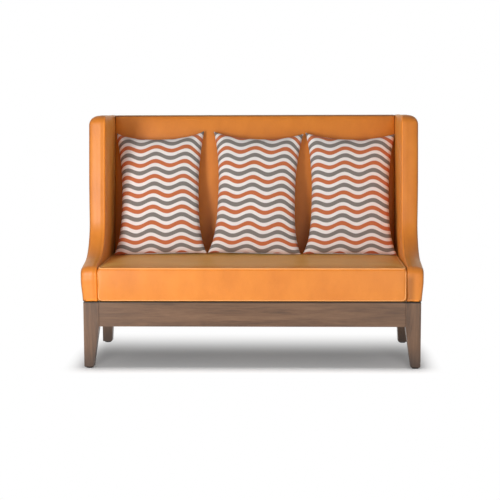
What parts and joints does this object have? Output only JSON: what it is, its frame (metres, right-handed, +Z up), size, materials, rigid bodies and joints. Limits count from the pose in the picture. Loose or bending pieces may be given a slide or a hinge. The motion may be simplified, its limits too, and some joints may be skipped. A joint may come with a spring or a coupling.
{
  "type": "high back settee",
  "caption": "High back settee with swept wings and low arms, tight upholstered seat, loose scatter cushions and a stained timber base on tapered legs",
  "frame": {"origin": "on the floor, under the middle of the bounding box", "axes": "+X runs along the seat to the right of someone looking at the front, +Y from front to back, +Z up"},
  "size_m": [1.524, 0.79, 1.114],
  "materials": {
    "walnut": "walnut-stained hardwood, fine grain, satin lacquer",
    "frame_timber": "sawn beech, unfinished",
    "plywood": "birch plywood, unfinished",
    "steel": "zinc-plated steel",
    "glide": "dark moulded plastic",
    "webbing": "woven elastic webbing",
    "foam": "upholstery foam",
    "velvet": "plain orange short-pile upholstery cloth",
    "back_cloth": "the same orange cloth over thin board",
    "dust_cloth": "black non-woven cloth",
    "cushion_print": "woven cotton printed with wavy stripes in grey, white and burnt orange",
    "wadding": "fibre-filled inner pad",
    "zip": "coil zip, pale"
  },
  "bodies": {
    "settee": {"back_foam": "foam", "back_lower_rail": "frame_timber", "back_top_rail": "frame_timber", "back_webbing": "webbing", "base_cross_rail": "frame_timber", "centre_back_post": "frame_timber", "dust_cover": "dust_cloth", "front_apron": "walnut", "front_left_corner_block": "frame_timber", "front_left_glide": "glide", "front_left_leg": "walnut", "front_left_leg_bolt": "steel", "front_right_corner_block": "frame_timber", "front_right_glide": "glide", "front_right_leg": "walnut", "front_right_leg_bolt": "steel", "inside_back_cover": "velvet", "left_apron": "walnut", "left_back_post": "frame_timber", "left_wing_band": "velvet", "left_wing_foam": "foam", "left_wing_inside_cover": "velvet", "left_wing_outside_cover": "velvet", "left_wing_panel": "plywood", "outside_back_cover": "back_cloth", "rear_apron": "walnut", "rear_left_corner_block": "frame_timber", "rear_left_glide": "glide", "rear_left_leg": "walnut", "rear_left_leg_bolt": "steel", "rear_right_corner_block": "frame_timber", "rear_right_glide": "glide", "rear_right_leg": "walnut", "rear_right_leg_bolt": "steel", "right_apron": "walnut", "right_back_post": "frame_timber", "right_wing_band": "velvet", "right_wing_foam": "foam", "right_wing_inside_cover": "velvet", "right_wing_outside_cover": "velvet", "right_wing_panel": "plywood", "seat_centre_rail": "frame_timber", "seat_cover": "velvet", "seat_foam": "foam", "seat_front_rail": "frame_timber", "seat_left_rail": "frame_timber", "seat_piping": "velvet", "seat_rear_rail": "frame_timber", "seat_right_rail": "frame_timber", "seat_webbing": "webbing"},
    "left_cushion": {"left_cushion_cover": "cushion_print", "left_cushion_pad": "wadding", "left_cushion_zip": "zip"},
    "middle_cushion": {"middle_cushion_cover": "cushion_print", "middle_cushion_pad": "wadding", "middle_cushion_zip": "zip"},
    "right_cushion": {"right_cushion_cover": "cushion_print", "right_cushion_pad": "wadding", "right_cushion_zip": "zip"}
  },
  "joints": [
    {"name": "left_cushion_lift", "type": "slide", "parent": "settee", "child": "left_cushion", "axis": [0, -0.866, 0.5], "range_m": [0, 0.8]},
    {"name": "middle_cushion_lift", "type": "slide", "parent": "settee", "child": "middle_cushion", "axis": [0, -0.866, 0.5], "range_m": [0, 0.8]},
    {"name": "right_cushion_lift", "type": "slide", "parent": "settee", "child": "right_cushion", "axis": [0, -0.866, 0.5], "range_m": [0, 0.8]}
  ]
}
